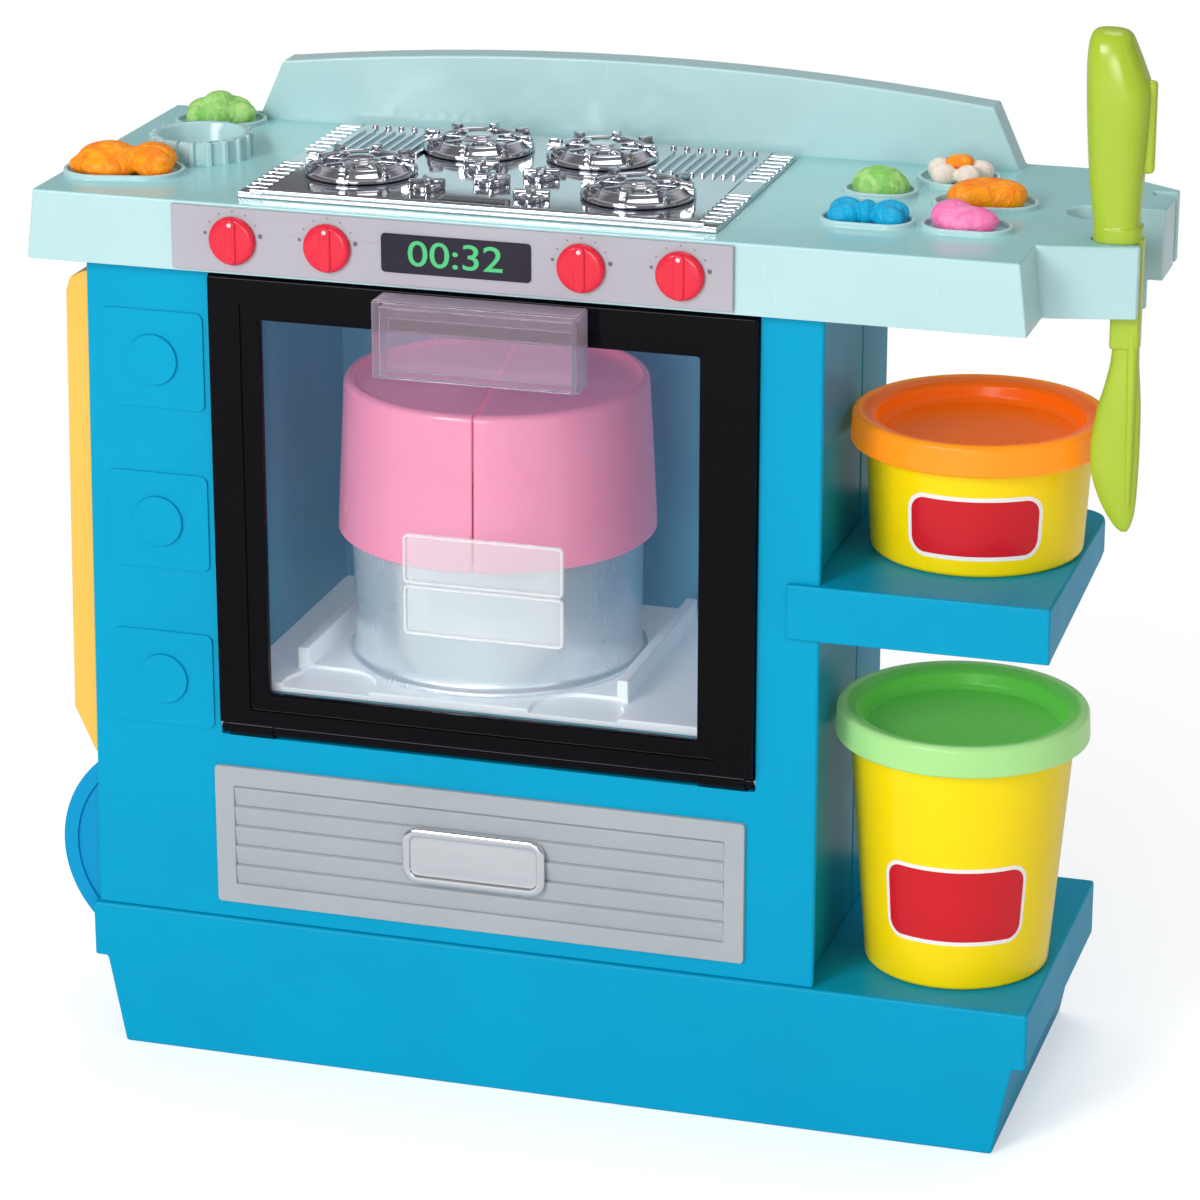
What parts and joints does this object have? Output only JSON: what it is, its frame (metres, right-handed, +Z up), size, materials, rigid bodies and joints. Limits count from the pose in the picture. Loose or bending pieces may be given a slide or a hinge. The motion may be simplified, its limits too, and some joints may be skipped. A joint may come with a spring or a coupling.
{
  "type": "toy oven",
  "caption": "Toy kitchen oven with drop-down window door, turning knobs, hob top, side shelves holding dough tubs, hanging spoon and a cake raised by a side wheel.",
  "frame": {"origin": "on the floor, at the middle of the base's footprint", "axes": "+X to the right as seen from the front, +Y to the back, +Z up; the door faces -Y"},
  "size_m": [0.2777, 0.1042, 0.2829],
  "materials": {
    "cabinet_blue": "moulded bright blue plastic, satin sheen",
    "shelf_blue": "moulded bright blue plastic, satin sheen",
    "worktop_aqua": "moulded pale aqua plastic, satin sheen",
    "hob_chrome": "vacuum-metallised bright silver",
    "fascia_silver": "silver printed panel, fine grain",
    "display_dark": "dark violet-grey window with plain green digits",
    "knob_red": "glossy red plastic",
    "vent_silver": "silver-grey plastic",
    "interior_slate": "slate-blue moulded plastic",
    "tray_white": "white moulded plastic",
    "pan_silver": "silver-grey moulded plastic",
    "mechanism_white": "natural white plastic",
    "cake_pink": "translucent pink plastic",
    "wheel_blue": "moulded blue plastic",
    "door_black": "high-gloss black plastic",
    "pane_clear": "clear moulded plastic, slightly frosted relief",
    "handle_clear": "clear violet-tinged moulded plastic",
    "board_yellow": "moulded warm yellow plastic",
    "tool_lime": "moulded lime green plastic",
    "tub_yellow": "moulded bright yellow plastic",
    "lid_orange": "orange plastic, satin sheen",
    "lid_green": "green plastic, satin sheen",
    "dough_orange": "soft matt modelling dough",
    "dough_green": "soft matt modelling dough",
    "dough_blue": "soft matt modelling dough",
    "dough_pink": "soft matt modelling dough",
    "dough_white": "soft matt modelling dough",
    "steel": "zinc-plated steel"
  },
  "bodies": {
    "cabinet": {"base_shell": "cabinet_blue", "base_cover": "cabinet_blue", "base_screws": "steel", "front_casing": "cabinet_blue", "rear_casing": "cabinet_blue", "case_screws": "steel", "upper_shelf": "shelf_blue", "worktop": "worktop_aqua", "hob_plate": "hob_chrome", "fascia_panel": "fascia_silver", "display_window": "display_dark", "vent_panel": "vent_silver", "vent_plaque": "vent_silver", "oven_liner": "interior_slate", "oven_tray": "tray_white", "cake_pan": "pan_silver", "post_bush": "mechanism_white", "gear_bracket": "mechanism_white", "hinge_pins": "steel", "croissant_dough": "dough_orange", "swirl_dough": "dough_green", "oval_dough": "dough_green", "bow_dough": "dough_blue", "heart_dough": "dough_pink", "bun_dough": "dough_orange", "flower_dough": "dough_white", "flower_centre_dough": "dough_orange"},
    "door": {"door_frame": "door_black", "door_pane": "pane_clear", "door_handle": "handle_clear"},
    "knob_1": {"knob_far_left": "knob_red"},
    "knob_2": {"knob_left": "knob_red"},
    "knob_3": {"knob_right": "knob_red"},
    "knob_4": {"knob_far_right": "knob_red"},
    "riser": {"riser_carriage": "mechanism_white", "riser_post": "mechanism_white", "cake_left_half": "cake_pink", "cake_right_half": "cake_pink"},
    "wheel": {"side_wheel": "wheel_blue", "wheel_shaft": "steel", "lift_pinion": "mechanism_white"},
    "board": {"side_board": "board_yellow"},
    "spoon": {"spoon_tool": "tool_lime"},
    "small_can": {"small_tub": "tub_yellow", "small_tub_dough": "dough_orange"},
    "small_cap": {"small_tub_lid": "lid_orange"},
    "tall_can": {"tall_tub": "tub_yellow", "tall_tub_dough": "dough_green"},
    "tall_cap": {"tall_tub_lid": "lid_green"}
  },
  "joints": [
    {"name": "door_swing", "type": "hinge", "parent": "cabinet", "child": "door", "pos_m": [-0.0165, -0.0427, 0.093], "axis": [1, 0, 0], "range_deg": [0, 90]},
    {"name": "knob_turn_1", "type": "hinge", "parent": "cabinet", "child": "knob_1", "pos_m": [-0.0785, -0.05, 0.22315], "axis": [0, 1, 0], "range_deg": [-135, 135]},
    {"name": "knob_turn_2", "type": "hinge", "parent": "cabinet", "child": "knob_2", "pos_m": [-0.0538, -0.05, 0.22315], "axis": [0, 1, 0], "range_deg": [-135, 135]},
    {"name": "knob_turn_3", "type": "hinge", "parent": "cabinet", "child": "knob_3", "pos_m": [0.011, -0.05, 0.22315], "axis": [0, 1, 0], "range_deg": [-135, 135]},
    {"name": "knob_turn_4", "type": "hinge", "parent": "cabinet", "child": "knob_4", "pos_m": [0.0357, -0.05, 0.22315], "axis": [0, 1, 0], "range_deg": [-135, 135]},
    {"name": "riser_lift", "type": "slide", "parent": "cabinet", "child": "riser", "axis": [0, 0, 1], "range_m": [-0.024, 0]},
    {"name": "wheel_turn", "type": "hinge", "parent": "cabinet", "child": "wheel", "pos_m": [-0.104, -0.0376, 0.054], "axis": [0, 1, 0], "range_deg": [0, 171.9]},
    {"name": "side_board_pull", "type": "slide", "parent": "cabinet", "child": "board", "axis": [-1, 0, 0], "range_m": [0, 0.04]},
    {"name": "spoon_lift", "type": "slide", "parent": "cabinet", "child": "spoon", "axis": [0, 0, 1], "range_m": [0, 0.09]},
    {"name": "small_tub_pull", "type": "slide", "parent": "cabinet", "child": "small_can", "axis": [0, 1, 0], "range_m": [0, 0.1]},
    {"name": "small_lid_lift", "type": "slide", "parent": "small_can", "child": "small_cap", "axis": [0, 0, 1], "range_m": [0, 0.02]},
    {"name": "tall_tub_pull", "type": "slide", "parent": "cabinet", "child": "tall_can", "axis": [1, 0, 0], "range_m": [0, 0.1]},
    {"name": "tall_lid_lift", "type": "slide", "parent": "tall_can", "child": "tall_cap", "axis": [0, 0, 1], "range_m": [0, 0.018]}
  ],
  "couplings": [
    {"joint": "wheel_turn", "follows": "riser_lift", "rad_per_m": -125}
  ]
}
